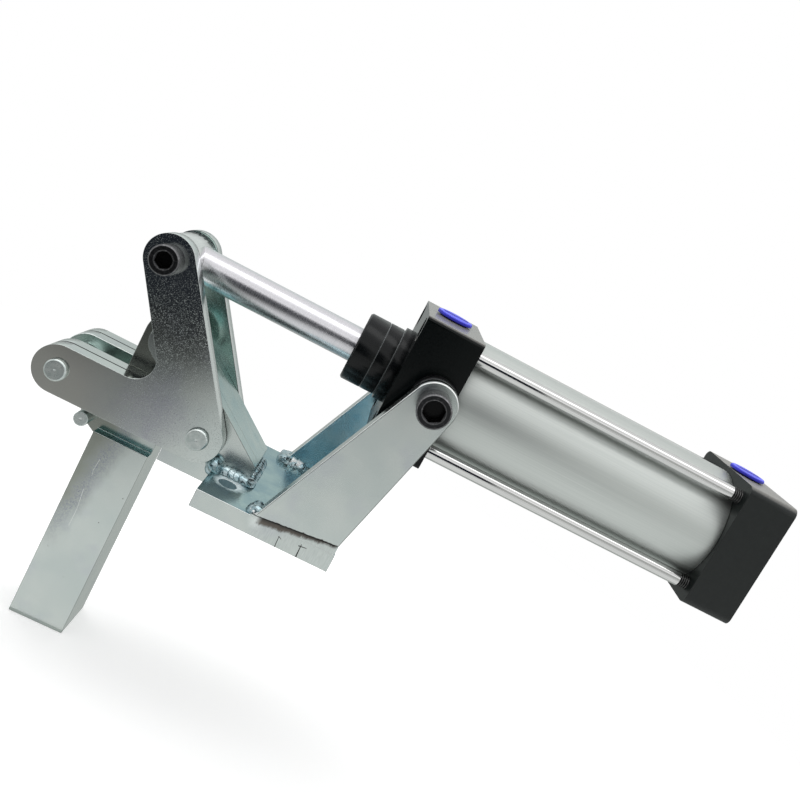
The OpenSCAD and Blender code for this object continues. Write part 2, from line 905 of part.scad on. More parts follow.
// Spacer rings between the head and the brackets
module trunnion_spacers() {
    color([0.15, 0.15, 0.16]) difference() {
        for (s = [-1, 1]) {
            bar_y(trunnion, spacer_d, s > 0 ? cover_half : seat_gap - bracket_in,
                  s > 0 ? bracket_in - seat_gap : -cover_half);
        }
        hole_y(trunnion, trunnion_d);
    }
}

// Socket screws that are the trunnions: through the brackets into the head
module trunnion_screws() {
    color([0.12, 0.12, 0.13])
        screw_pair(trunnion, trunnion_d, trunnion_head_d, trunnion_head_h, trunnion_hex,
                   -bracket_out - seat_gap, screw_in - cover_half);
}

base_plate();
frame_side_front();
frame_side_rear();
frame_web();
frame_welds();
bracket_front();
bracket_rear();
bracket_welds();
arm_pivot_pin();
lever_pivot_pin();
lever_front();
lever_rear();
link_pin();
lever_screws();
link_front();
link_rear();
link_spacer();
arm_link_pin_ends();
clamp_arm();
arm_link_pin();
stop_pin();
piston_rod();
rod_eye();
rod_eye_pin();
piston();
piston_seals();
wear_ring();
cushion_sleeves();
cylinder_head();
rod_gland();
rod_bush();
rod_wiper();
rod_seal();
cylinder_tube();
tube_seals();
end_cap();
tie_rods();
tie_rod_nuts();
port_plug_head();
port_plug_cap();
trunnion_spacers();
trunnion_screws();
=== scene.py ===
# %% [markdown]
# # Pneumatic toggle clamp
#
# A heavy shop clamp: zinc plated levers, a welded foot and a black and silver air cylinder.
# The pieces come in as a fixed frame, already at their real size and place. What is left to do
# here is everything the eye reads as *finish*: eased edges, plating, weld metal, anodising,
# scratches, and the light that metal needs in order to look like metal.

# %% Load the frame
import math
import random

import bmesh
import bpy
from mathutils import Matrix, Vector, noise


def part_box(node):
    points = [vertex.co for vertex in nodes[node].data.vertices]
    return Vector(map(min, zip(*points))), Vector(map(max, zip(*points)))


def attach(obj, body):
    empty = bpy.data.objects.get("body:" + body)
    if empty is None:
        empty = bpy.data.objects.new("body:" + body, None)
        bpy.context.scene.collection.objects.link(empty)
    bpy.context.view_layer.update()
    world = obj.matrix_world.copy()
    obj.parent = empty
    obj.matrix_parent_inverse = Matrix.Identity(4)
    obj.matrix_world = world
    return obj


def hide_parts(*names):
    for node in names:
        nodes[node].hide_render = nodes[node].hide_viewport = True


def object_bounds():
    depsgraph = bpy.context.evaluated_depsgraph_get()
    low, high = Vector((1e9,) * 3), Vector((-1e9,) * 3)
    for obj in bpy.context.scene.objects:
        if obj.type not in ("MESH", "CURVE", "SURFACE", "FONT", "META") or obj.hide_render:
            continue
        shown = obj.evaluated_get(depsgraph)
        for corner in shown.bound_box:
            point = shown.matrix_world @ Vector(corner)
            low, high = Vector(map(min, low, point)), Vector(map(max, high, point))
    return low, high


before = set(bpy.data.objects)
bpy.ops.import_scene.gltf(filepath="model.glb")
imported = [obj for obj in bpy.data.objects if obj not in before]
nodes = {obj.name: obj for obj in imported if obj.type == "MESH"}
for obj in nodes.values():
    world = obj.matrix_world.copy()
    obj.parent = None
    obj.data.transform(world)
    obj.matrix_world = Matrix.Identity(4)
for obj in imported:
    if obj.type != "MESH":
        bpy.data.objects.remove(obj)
cad_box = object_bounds()
mm = 0.001
print("nodes in the frame:", len(nodes))

# %% [markdown]
# ## Where a piece is
#
# Some finishes have to know where a piece is: the rings on a pin run round its axis, and a weld
# lies on the base. Those places could be typed in. They are measured on the pieces instead, so
# that they stay right if the clamp is made in another size.

# %% Where a piece is
def centre_of(node):
    """Middle of a piece as seen from the front: X and Z in millimetres."""
    low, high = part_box(node)
    return ((low.x + high.x) / 2 / mm, (low.z + high.z) / 2 / mm)


base_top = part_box("base_plate")[1].z / mm
frame_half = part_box("frame_side_rear")[1].y / mm
print("base top at", round(base_top, 2), "mm, frame plates out to", round(frame_half, 2), "mm")

# %% [markdown]
# ## Camera
#
# The photograph looks almost square at the clamp's front, from a hand's breadth above it and
# from close by, with the camera tipped on its side by nearly thirty degrees. A camera can be
# given as one table of numbers, but nobody can check that by eye. So it is described here as a
# photographer would: what it aims at, how far away it stands, which way it turns, and the
# lens. The small lens shift is there because the picture was cropped off centre.

# %% Camera
aim_at = Vector((50.642, 0, 111.782)) * mm
camera_distance = 483.92 * mm
turn_right = math.radians(6.519)
look_down = math.radians(8.971)
roll = math.radians(28.609)

sight = Vector((
    math.sin(turn_right) * math.cos(look_down),
    math.cos(turn_right) * math.cos(look_down),
    -math.sin(look_down),
))
level = sight.cross(Vector((0, 0, 1))).normalized()
right = Matrix.Rotation(-roll, 3, sight) @ level
up = right.cross(sight)

lens = bpy.data.cameras.new("camera")
lens.lens = 38.793
lens.sensor_width = 36
lens.shift_x = -0.05659
lens.shift_y = -0.03137
lens.clip_start = 0.01
camera = bpy.data.objects.new("camera", lens)
bpy.context.scene.collection.objects.link(camera)
camera.matrix_world = Matrix.Translation(aim_at - camera_distance * sight) @ (
    Matrix((right, up, -sight)).transposed().to_4x4())
bpy.context.scene.camera = camera
bpy.context.scene.view_settings.view_transform = "Standard"
print("camera at", [round(v / mm) for v in camera.location], "mm")

# %% [markdown]
# ## Writing materials as sums
#
# A finish is a small calculation: noise, minus something, times something, into the colour or
# the roughness. Wiring that by hand hides the idea, so one small class wraps a node's output
# and lets Python's own signs add the Math nodes. `1 - mask` works too, because the reflected
# forms of the operators are there. Everything else comes from one method, `node`.

# %% Sums on sockets
class Wire:
    """An output of a node that can be used in a sum."""

    def __init__(self, recipe, socket):
        self.recipe = recipe
        self.socket = socket

    def __add__(self, other):
        return self.recipe.maths("ADD", self, other)

    __radd__ = __add__

    def __sub__(self, other):
        return self.recipe.maths("SUBTRACT", self, other)

    def __rsub__(self, other):
        return self.recipe.maths("SUBTRACT", other, self)

    def __mul__(self, other):
        return self.recipe.maths("MULTIPLY", self, other)

    __rmul__ = __mul__

    def __truediv__(self, other):
        return self.recipe.maths("DIVIDE", self, other)

    def __gt__(self, other):
        return self.recipe.maths("GREATER_THAN", self, other)

    def __lt__(self, other):
        return self.recipe.maths("LESS_THAN", self, other)


print("a wire takes part in sums: + - * / > <")

# %% Any node
class Recipe:
    """The node tree of one finish."""

    def __init__(self, tree):
        self.tree = tree
        tree.nodes.clear()

    def node(self, kind, settings=None, inputs=None, out=0):
        made = self.tree.nodes.new(kind)
        for name, value in (settings or {}).items():
            setattr(made, name, value)
        for key, value in (inputs or {}).items():
            if isinstance(value, Wire):
                self.tree.links.new(value.socket, made.inputs[key])
            else:
                made.inputs[key].default_value = value
        return Wire(self, made.outputs[out]) if made.outputs else made

    def maths(self, operation, *values):
        return self.node("ShaderNodeMath", {"operation": operation}, dict(enumerate(values)))


print("a recipe adds nodes by:", [word for word in vars(Recipe) if not word.startswith("_")])

# %% [markdown]
# ## Words for surfaces
#
# These are the few things that every finish here is made of: a place on the piece, measured in
# millimetres so that a grain of 0.7 really is 0.7 mm; noise; a way to turn noise into a mask;
# a way to mix colours; relief, given as a height in millimetres; and the shader at the end.
# The place comes from the piece itself, so the pattern stays put when the piece moves.

# %% Screen colours
def srgb(red, green, blue):
    """Colour as read off a screen, 0 to 255, in the linear values that a shader takes."""
    def linear(v):
        v = v / 255
        return v / 12.92 if v <= 0.04045 else ((v + 0.055) / 1.055) ** 2.4
    return (linear(red), linear(green), linear(blue), 1)


white = srgb(255, 255, 255)
print("the screen's middle grey is", round(srgb(128, 128, 128)[0], 3), "to a shader")

# %% Helpers for finishes
class Finish(Recipe):
    """A material, with the helpers that all finishes share."""

    def __init__(self, name):
        self.material = bpy.data.materials.new(name)
        self.material.use_nodes = True
        super().__init__(self.material.node_tree)
        self.here = self.node("ShaderNodeTexCoord", out=3)

    def place(self, x=1, y=1, z=1, turn=(0, 0, 0)):
        """Place on the piece in millimetres, turned, then stretched along its own axes."""
        turned = self.node("ShaderNodeMapping", {"vector_type": "POINT"}, {0: self.here, 2: turn})
        return self.node("ShaderNodeMapping", {"vector_type": "POINT"},
                         {0: turned, 3: (x / mm, y / mm, z / mm)})

    def axis(self, which):
        """One coordinate of the place, in millimetres."""
        return self.node("ShaderNodeSeparateXYZ", inputs={0: self.here}, out="XYZ".index(which)) / mm

    def facing(self, which):
        """How far the surface faces along X, Y or Z of the piece, -1 to 1."""
        normal = self.node("ShaderNodeTexCoord", out=1)
        return self.node("ShaderNodeSeparateXYZ", inputs={0: normal}, out="XYZ".index(which))

    def size(self, value):
        """Value without its sign."""
        return self.maths("ABSOLUTE", value)

    def most(self, a, b):
        """The larger of two values, which joins two masks."""
        return self.maths("MAXIMUM", a, b)

    def from_centre(self, centre, plane="XZ"):
        """Distance in millimetres from a line across the piece."""
        a = self.axis(plane[0]) - centre[0]
        b = self.axis(plane[1]) - centre[1]
        return self.maths("SQRT", a * a + b * b)

    def stroke(self, start, end, width):
        """Mask of a straight mark in the XZ plane, in millimetres, that tapers to its end."""
        run, rise = end[0] - start[0], end[1] - start[1]
        x = self.axis("X") - start[0]
        z = self.axis("Z") - start[1]
        along = self.node("ShaderNodeMath", {"operation": "DIVIDE", "use_clamp": True},
                          {0: x * run + z * rise, 1: run * run + rise * rise})
        x = x - along * run
        z = z - along * rise
        return self.maths("SQRT", x * x + z * z) < (1 - along * 0.5) * (width / 2)

    def strokes(self, marks):
        """Mask of several strokes, each with its start, end and width."""
        mask = 0
        for start, end, width in marks:
            mask = self.most(mask, self.stroke(start, end, width))
        return mask

    def noise(self, grain, detail=2, rough=0.5, place=None):
        """Noise whose grains measure about the given number of millimetres."""
        return self.node("ShaderNodeTexNoise", inputs={
            "Vector": place or self.place(), "Scale": 1 / grain, "Detail": detail, "Roughness": rough})

    def between(self, value, low, high, start=0, end=1):
        """Value turned into start to end, as it goes from low to high."""
        return self.node("ShaderNodeMapRange", inputs={0: value, 1: low, 2: high, 3: start, 4: end})

    def mix(self, factor, a, b):
        """Colour a where the factor is 0, colour b where it is 1."""
        return self.node("ShaderNodeMix", {"data_type": "RGBA"}, {0: factor, 6: a, 7: b}, out=2)

    def scratches(self, angle, width, length, amount):
        """Mask of fine straight scratches in the XZ plane, at an angle in degrees."""
        place = self.place(1 / length, 1 / length, 1 / width, turn=(0, math.radians(angle), 0))
        lines = self.noise(1, 2, 0.5, place)
        return self.between(lines, 0.72 - amount, 0.76 - amount)

    def relief(self, height):
        """Bump of a height in millimetres."""
        return self.node("ShaderNodeBump", inputs={"Strength": 1.0, "Distance": mm, "Height": height})

    def done(self, **sockets):
        """Ends the finish with its shader. Socket names are written with underscores."""
        inputs = {name.replace("_", " "): value for name, value in sockets.items()}
        shader = self.node("ShaderNodeBsdfPrincipled", inputs=inputs)
        self.node("ShaderNodeOutputMaterial", inputs={"Surface": shader})
        return self.material


def report(*materials):
    """Says how many nodes each finish took."""
    for material in materials:
        print(material.name, "takes", len(material.node_tree.nodes), "nodes")


print("helpers:", [word for word in vars(Finish) if not word.startswith("_")])

# %% [markdown]
# ## Studio
#
# The clamp stands over a plain pale floor in a white surround, under one wide soft lamp. A
# picture of a studio wrapped round the scene could light it too, but plain colours can each be
# set by one number. The surround shows white to the camera and to mirrors, while what it
# sheds on the clamp stays lower, so that a colour renders about as it is written.

# %% Surround
def seen_directly(recipe):
    """1 where the camera, a mirror or glass looks, 0 for the light that falls on things."""
    light_path = "ShaderNodeLightPath"
    camera_ray = recipe.node(light_path, out=0)
    glossy_ray = recipe.node(light_path, out=3)
    through_ray = recipe.node(light_path, out=6)
    return recipe.maths("MAXIMUM", recipe.maths("MAXIMUM", camera_ray, glossy_ray), through_ray)


sky_light = 0.55
world = bpy.data.worlds.new("surround")
bpy.context.scene.world = world
world.use_nodes = True
sky = Recipe(world.node_tree)
sky.node("ShaderNodeOutputWorld", inputs={0: sky.node("ShaderNodeBackground", inputs={
    "Color": white, "Strength": seen_directly(sky) * (1 - sky_light) + sky_light})})
print("the surround shows as 1 and lights with", sky_light)


# %% Flat sheets
def flat_sheet(name, corners):
    """One flat face, which belongs to the stage."""
    mesh = bpy.data.meshes.new(name)
    mesh.from_pydata([Vector(c) for c in corners], [], [list(range(len(corners)))])
    sheet = bpy.data.objects.new(name, mesh)
    bpy.context.scene.collection.objects.link(sheet)
    return sheet


def lying(x0, x1, y0, y1, z):
    """Corners of a sheet that lies flat."""
    return [(x0, y0, z), (x1, y0, z), (x1, y1, z), (x0, y1, z)]


def upright(x0, x1, y, z0, z1):
    """Corners of a sheet that stands across the view."""
    return [(x0, y, z0), (x1, y, z0), (x1, y, z1), (x0, y, z1)]


floor_z = cad_box[0].z - 0.1 * mm
floor_half = 6
floor = flat_sheet("floor", lying(-floor_half, floor_half, -floor_half, floor_half, floor_z))
print("floor at", round(floor_z / mm, 1), "mm")

# %% Floor paint
# Near the clamp the floor is pale paint that takes its shadow; further off it is plain white
floor_glow = 0.42
shadow_centre = (50, 0)
paint_ends, white_starts = 260, 620
pale = Finish("pale_floor")
near_glow = pale.node("ShaderNodeEmission", inputs={
    "Color": white, "Strength": seen_directly(pale) * floor_glow})
near_paint = pale.node("ShaderNodeBsdfDiffuse", inputs={"Color": (0.8, 0.8, 0.8, 1)})
far_glow = pale.node("ShaderNodeEmission", inputs={
    "Color": white, "Strength": seen_directly(pale) * (1 - sky_light) + sky_light})
pale.node("ShaderNodeOutputMaterial", inputs={"Surface": pale.node("ShaderNodeMixShader", inputs={
    0: pale.between(pale.from_centre(shadow_centre, "XY"), paint_ends, white_starts),
    1: pale.node("ShaderNodeAddShader", inputs={0: near_glow, 1: near_paint}),
    2: far_glow})})
floor.data.materials.append(pale.material)
report(pale.material)

# %% Lamp
lamp_place = Vector((0.05, 0.12, 0.95))
lamp_aim = Vector((0.05, 0, 0))
lamp = bpy.data.lights.new("overhead", "AREA")
lamp.shape = "RECTANGLE"
lamp.size = 1.3
lamp.size_y = 0.8
lamp.energy = 9
overhead = bpy.data.objects.new("overhead", lamp)
bpy.context.scene.collection.objects.link(overhead)
overhead.location = lamp_place
overhead.rotation_euler = (lamp_aim - lamp_place).to_track_quat("-Z", "Y").to_euler()
overhead.visible_glossy = False
print("lamp", round(lamp.size, 2), "m wide,", lamp.energy, "W")

# %% [markdown]
# ## Cards for the reflections
#
# A plated plate is a mirror, and what it mirrors here is a workshop: a dark room behind the
# photographer, a grey bench top, a pale wall behind the clamp and two bright strips. Real
# boxes and lamps could stand there, but they would light the clamp and throw shadows as well.
# So each is a flat card that only reflections see: moving one card moves one band of tone on
# the metal, and nothing else.

# %% Cards that only reflections see
def card(name, corners, material):
    """A sheet that only reflections see."""
    made = flat_sheet(name, corners)
    made.data.materials.append(material)
    made.visible_camera = False
    made.visible_diffuse = False
    made.visible_shadow = False
    made.visible_volume_scatter = False


def glow(recipe, colour, strength=1.0):
    """Ends the recipe of a card's tone. The strength may be a wire of that recipe."""
    recipe.node("ShaderNodeOutputMaterial", inputs={"Surface": recipe.node(
        "ShaderNodeEmission", inputs={"Color": colour, "Strength": strength})})
    return recipe.material


# The room behind the photographer is dark on the left and lit on the right
room_y = -0.85
room_left, room_right = -0.9, 1.1
room_top = 0.42
room_bottom = -0.06
left_ends = -0.13
lit_from = 0.145
dark_room = glow(Finish("dark_room"), (0.016, 0.019, 0.027, 1))
dim_room = glow(Finish("dim_room"), (0.56, 0.575, 0.56, 1))
card("room_left", upright(room_left, left_ends, room_y, floor_z, room_top), dark_room)
card("room_middle", upright(left_ends, lit_from, room_y, room_bottom, room_top), dark_room)
card("room_right", upright(lit_from, room_right, room_y, room_bottom, room_top), dim_room)
report(dark_room, dim_room)

# %% The wall and the bench
# The wall behind the clamp is what the plates' narrow sides mirror
back_y = 1.3
wall_left, wall_joint, wall_right = -1.2, 0.3, 1.8
wall_top = 1.4
wall = Finish("back_left")
wall_tone = wall.between(wall.axis("Z"), 200, 520, 0.52, 0.86)
wall_paint = glow(wall, (0.94, 1.0, 0.98, 1), wall_tone)
far_paint = glow(Finish("back_right"), (0.78, 0.8, 0.79, 1))
card("back_left", upright(wall_left, wall_joint, back_y, floor_z, wall_top), wall_paint)
card("back_right", upright(wall_joint, wall_right, back_y, floor_z, wall_top), far_paint)

# The bench gets darker away from the clamp, and its left part is the darkest
bench_z = floor_z + 0.2 * mm
bench_end, behind_start = -0.02, -0.019
bench = Finish("bench_top")
deep = bench.axis("Y")
left_grey = bench.between(deep, -700, -430, 0.02, 0.34) + bench.between(deep, -360, -150, 0, 0.6)
right_grey = bench.between(deep, -700, -380, 0.70, 0.92)
bench_grey = left_grey + (right_grey - left_grey) * bench.between(bench.axis("X"), -170, -75)
bench_paint = glow(bench, (0.98, 1.0, 0.99, 1), bench_grey)
behind_paint = glow(Finish("bench_behind"), (0.5, 0.53, 0.51, 1))
card("bench_behind", lying(wall_left, wall_right, behind_start, back_y, bench_z), behind_paint)
card("bench", lying(room_left, room_right, room_y, bench_end, bench_z), bench_paint)
report(wall_paint, far_paint, bench_paint, behind_paint)

# %% Bright strips
# One overhead and one behind the photographer draw the thin bright line along each edge
strip_light = glow(Finish("strip_light"), white, 2.6)
lit_wall = glow(Finish("lit_wall"), white, 1.35)
card("strip_above", lying(-0.8, 0.9, -0.34, -0.04, 0.8), strip_light)
card("strip_behind", upright(-1.0, 1.0, room_y, 0.46, 0.62), lit_wall)

# %% [markdown]
# ## Zinc's colour
#
# The plates are cut steel with a bright zinc coat. It is a cool light grey with a violet tint
# in patches, fine scratches from handling, and here and there a dark speck. One flat colour
# would look like paint and a picture of zinc would repeat, so each of these is a noise of its
# own size, turned into a mask.

# %% Zinc's colour, scratches and specks
def zinc_coat(f):
    """The plate's own colour: a cool light grey with slow patches."""
    patches = f.noise(26, 2, 0.5)
    coat = f.mix(f.between(patches, 0.35, 0.68) * 0.7, srgb(196, 202, 199), srgb(184, 193, 191))
    return f.mix(f.between(f.noise(17, 2, 0.5), 0.52, 0.72) * 0.25, coat, srgb(170, 172, 186))


# Three sets of scratches: angle in degrees, width and length in millimetres, and amount
scratch_sets = [(24, 0.07, 16, -0.035), (-51, 0.06, 9, -0.045), (78, 0.06, 22, -0.04)]


def handling(f, turned):
    """Mask of the fine scratches from handling, all turned by the same angle."""
    sets = [f.scratches(angle + turned, *sizes) for angle, *sizes in scratch_sets]
    return f.most(f.most(sets[0], sets[1]), sets[2])


def dark_specks(f):
    """Mask of specks, one in about 9 mm where there are any."""
    cells = f.node("ShaderNodeTexVoronoi", {"feature": "F1"}, {"Vector": f.place(), "Scale": 1 / 9})
    return (cells < 0.028) * (f.noise(22, 2, 0.5) > 0.5)


print("scratches run at", [angle for angle, *sizes in scratch_sets], "degrees before they are turned")

# %% [markdown]
# ## Painted light on edges and painted shade in gaps
#
# Each plate gets a painted highlight along its upper edges, a thin bright line, and painted
# shade along its lower ones. In the narrow gap between two plates the coat gets dark painted
# shade. All that could be drawn on by hand. Here the way the surface faces tells an edge from a
# face and an upper edge from a lower one, and the place across the clamp tells what lines a gap,
# so one recipe serves every plate.

# %% Painted edge light and gap shade
def paint_edge_light(f, coat, rough, gap_side, gap_y, edge_light):
    """Paints light on a plate's edges: a painted highlight on upper ones, painted shade on lower
    ones, and painted shade in a gap.

    The last argument is how bright the painted highlight on upper edges is, and below 0 they get
    painted shade instead. gap_side is 1 if the gap lies outside gap_y, -1 if it lies inside, and 0
    without a gap.
    """
    turn = f.size(f.facing("Y"))
    edge = f.between(turn, 0.08, 0.25) * f.between(turn, 0.95, 0.99, 1, 0)
    slope = f.facing("Z")
    upper = edge * f.between(slope, 0.15, 0.4)
    lower = edge * f.between(slope, 0.15, -0.05)
    metal = 1.0
    # Painted highlight on the upper edges, or painted shade there when the last argument is below 0
    upper_tone = srgb(84, 82, 76)
    if edge_light > 0:
        upper_tone = srgb(252, 254, 253)
        bright = upper * edge_light
        rough = rough + bright * 0.3
        metal = 1 - bright * 0.75
    coat = f.mix(upper * (0.85 * abs(edge_light)), coat, upper_tone)
    # Painted shade on the lower edges
    coat = f.mix(lower * (0.75 * abs(edge_light)), coat, srgb(104, 108, 104))
    if gap_side:
        # Painted shade in the narrow gap between two plates, dark as if no light gets in
        gap_shade = (f.size(f.axis("Y")) * gap_side > gap_y * gap_side) * (turn < 0.985)
        coat = f.mix(gap_shade * 0.96, coat, srgb(12, 13, 13))
        rough = rough + gap_shade * 0.4
    return coat, rough, metal


lever_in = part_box("lever_rear")[0].y / mm + 0.5
link_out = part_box("link_rear")[1].y / mm - 0.45
print("the gaps start", round(lever_in, 2), "and", round(link_out, 2), "mm from the middle")

# %% [markdown]
# ## Zinc plate
#
# Zinc is nearly a mirror, but a slightly wavy one, with grains well under a millimetre that
# break a reflection up where it goes from dark to light. So its relief is built from noise of
# three sizes. The levers' coat is coarser: its grains are rougher than the ground between
# them, so they catch light where the smooth ground mirrors the dark room, and that alone gives
# the glitter. Each plate gets its own waviness and direction of scratches, and on some plates
# the faces that look one way get colours of painted reflection.

# %% Zinc finish
def zinc(name, gloss, flakes=0.0, wave=0.02, turned=0, facing_paint=None, marks=None,
         gap_side=0, gap_y=0, smooth_near=None, edge_light=1.0):
    """The plated finish of one plate.

    gloss is the roughness between the grains, and flakes is how much rougher the grains are.
    The facing colours hold an axis, a direction along it, and two colours of painted reflection
    for the faces that look that way.
    marks is a function that adds the plate's own marks, and the grains fade at smooth_near.
    """
    f = Finish(name)
    coat = zinc_coat(f)
    # Painted reflection: faces that look one way get colours that stand for what they mirror
    if facing_paint:
        which, way, light, deep_tint = facing_paint
        cloud = f.between(f.noise(13, 3, 0.55), 0.34, 0.66)
        coat = f.mix(f.between(f.facing(which) * way, 0.4, 0.8), coat, f.mix(cloud, light, deep_tint))
    scratch = handling(f, turned)
    specks = dark_specks(f)
    coat = f.mix(specks, coat, srgb(70, 66, 60))
    coat = f.mix(scratch * 0.3, coat, srgb(228, 231, 230))
    grains = f.between(f.noise(0.42, 2, 0.6), 0.54, 0.68)
    bloom = f.between(f.noise(19, 2, 0.5), 0.25, 0.6, 0.55, 1)
    if smooth_near:
        bloom = bloom * f.between(f.from_centre(smooth_near), 22, 60)
    rough = grains * bloom * flakes + gloss
    rough = rough + scratch * 0.12 + specks * 0.3
    height = f.noise(0.6, 2, 0.6) * 0.004 + grains * bloom * (flakes * 0.02) + f.noise(34, 1, 0.4) * wave
    height = height - scratch * 0.0012
    # Painted highlight and painted shade on the edges, and painted shade in the gaps
    coat, rough, metal = paint_edge_light(f, coat, rough, gap_side, gap_y, edge_light)
    if marks:
        coat, rough, height, marked_metal = marks(f, coat, rough, height)
        metal = f.maths("MINIMUM", metal, marked_metal)
    return f.done(Base_Color=coat, Metallic=metal, Roughness=rough, Normal=f.relief(height))


# %% Zinc of the frame and the links
# The sloped faces get painted reflection
painted_slope_tones = ("Z", 1, srgb(170, 187, 183), srgb(152, 177, 177))
web_coat = zinc("zinc_plate", gloss=0.2, wave=0.03, facing_paint=painted_slope_tones)
# Upper edges: painted shade on the front side plate, a faint painted highlight on the rear one
front_side = zinc("zinc_front_side", gloss=0.2, wave=0.03, facing_paint=painted_slope_tones, edge_light=-0.8)
rear_side = zinc("zinc_rear_side", gloss=0.2, wave=0.03, facing_paint=painted_slope_tones, edge_light=0.1)
# Links: painted reflection on the front faces, painted highlight on upper edges, painted shade in the
# gap
link_coat = zinc("zinc_link", gloss=0.2, wave=0.03, gap_side=1, gap_y=link_out, edge_light=0.6,
                 facing_paint=("Y", -1, srgb(206, 224, 218), srgb(186, 208, 202)))
report(web_coat, front_side, rear_side, link_coat)

# %% [markdown]
# ## The ground seam
#
# The foot of each bracket was welded along its outside and ground flush, which left a ragged
# crack where the fill stops short of the plate, and a finely hatched patch below it. The crack
# is dark with painted shade, and a painted highlight lies at its left end. It could be cut into
# the mesh, but it is only a few tenths of a millimetre deep. So tone and relief make it: how far
# a point lies below one line across the face decides what it is.

# %% Ground seam
seam_rise, seam_height = 0.105, 11.75
outside_y = 54.1
# Centre of a painted highlight, a pale glare, near the seam's left end
seam_glare_at = (-5, 8)


def ground_seam(f, coat, rough, height):
    """Adds the hatch, the crack with its painted shade, and a painted highlight at its left end."""
    x = f.axis("X")
    z = f.axis("Z")
    outside = f.between(f.size(f.axis("Y")), outside_y, outside_y + 0.2)
    ragged = f.noise(3.4, 3, 0.7, f.place(1, 0.001, 0.001)) * 2.6 - 1.3
    line = x * seam_rise + seam_height + ragged
    below = line - z
    hatch = f.noise(1, 2, 0.6, f.place(1.9, 0.001, 0.22))
    ends = f.between(x, -5.5, -2.5) * f.between(x, 36.5, 38.2, 1, 0) * outside
    drips = f.noise(5, 2, 0.5, f.place(1, 0.001, 0.001)) * 3
    deep_end = f.between(x, -8, 36, 3.9, 1.2) + drips + hatch * 2.2 - 2.4
    crack = f.between(below, 0, 0.2) * f.between(below - deep_end, -0.6, 0.7, 1, 0) * ends
    ground = f.between(below, 0, 0.5) * ends
    coat = f.mix(ground * f.between(hatch, 0.35, 0.65) * 0.35, coat, srgb(226, 231, 228))
    # Painted highlight: a pale glare round that centre
    seam_glare = f.between(f.from_centre(seam_glare_at) + f.noise(2, 2, 0.5) * 2, 2, 6, 1, 0) * outside
    coat = f.mix(seam_glare * 0.4, coat, srgb(244, 250, 248))
    # Painted shade in the crack, darkest right under its upper edge
    crack_shade = f.mix(f.between(below, 0.4, 2.4), srgb(44, 40, 36), srgb(104, 97, 88))
    coat = f.mix(crack * 0.95, coat, crack_shade)
    rough = rough + ground * 0.1 + crack * 0.35
    return coat, rough, height - crack * 0.35 - ground * hatch * 0.02, 1 - crack * 0.5


# The brackets' inner faces get painted reflection, a pale teal
bracket_coat = zinc("zinc_bracket", gloss=0.24, turned=-20, wave=0.012, marks=ground_seam,
                    facing_paint=("Y", 1, srgb(226, 242, 246), srgb(200, 232, 242)))
rear_bracket_coat = zinc("zinc_rear_bracket", gloss=0.22, turned=30, marks=ground_seam,
                         facing_paint=("Y", -1, srgb(220, 240, 246), srgb(176, 218, 234)))
report(bracket_coat, rear_bracket_coat)

# %% [markdown]
# ## Marks on the base
#
# On the base's front edge are two short scribed lines with a hook, where somebody marked a
# place. Beside the front bolt hole a pale glare is a painted highlight, and the hole's wall is
# rough and bluish. Each line is given by its two ends and its width, the glare by a distance
# from its centre, and the seam above runs on over the base's edge.

# %% Scribed lines, painted glare and bolt holes
bolt_at = (-27.5, -31.3)
bore_r = 5.6
# Centre of the painted highlight, a pale glare, beside the front bolt hole
hole_glare_at = (bolt_at[0] + 0.5, bolt_at[1] + 2.6)
scribed_lines = [
    ((9.4, 0), (8.9, 6.4), 0.5),
    ((8.9, 6.2), (10.6, 5.4), 0.45),
    ((21.4, 0), (21.1, 7.6), 0.75),
    ((20.2, 6.4), (24.2, 6.9), 0.6),
]


def base_marks(f, coat, rough, height):
    """Adds the seam, the scribed lines, a painted highlight beside the bolt hole and the walls of the
    bolt holes.
    """
    coat, rough, height, metal = ground_seam(f, coat, rough, height)
    front = f.between(f.axis("Y") * -1, 54.5, 54.7)
    mark = f.strokes(scribed_lines) * front
    # Painted highlight: a pale glare on the base's top beside the front bolt hole
    near_weld = f.from_centre(hole_glare_at, "XY") + f.noise(3, 2, 0.5) * 4
    hole_glare = f.between(near_weld, 8, 12.5, 1, 0) * f.between(f.facing("Z"), 0.4, 0.8)
    coat = f.mix(hole_glare * 0.85, coat, srgb(240, 250, 252))
    rough = rough + hole_glare * 0.36
    across = f.size(f.axis("X")) + bolt_at[0]
    along = f.size(f.axis("Y")) + bolt_at[1]
    bore = (f.maths("SQRT", across * across + along * along) < bore_r) * (f.facing("Z") < 0.5)
    streaks = f.noise(1, 2, 0.6, f.place(2, 2, 0.2))
    coat = f.mix(bore, coat, f.mix(streaks, srgb(110, 138, 146), srgb(160, 184, 190)))
    metal = metal - f.most(bore * 0.85, hole_glare * 0.5)
    coat = f.mix(mark * 0.9, coat, srgb(44, 42, 40))
    return coat, rough + mark * 0.3, height - mark * 0.2, metal


# The base's top gets painted reflection, a teal grey
base_coat = zinc("zinc_base", gloss=0.22, turned=40, marks=base_marks,
                 facing_paint=("Z", 1, srgb(160, 183, 183), srgb(128, 158, 167)))
report(base_coat)

# %% [markdown]
# ## Tones of the levers
#
# Zinc shows the heat and the bath it went through. The front lever's lower arm came out smooth
# and a little warm, and round its middle the coarse grains have a violet cast. Two soft masks,
# one along a slanting line and one round a point, put the tones where they belong, and noise
# keeps their edges from looking drawn.

# %% Lever tones
violet_at = (-80, 27)


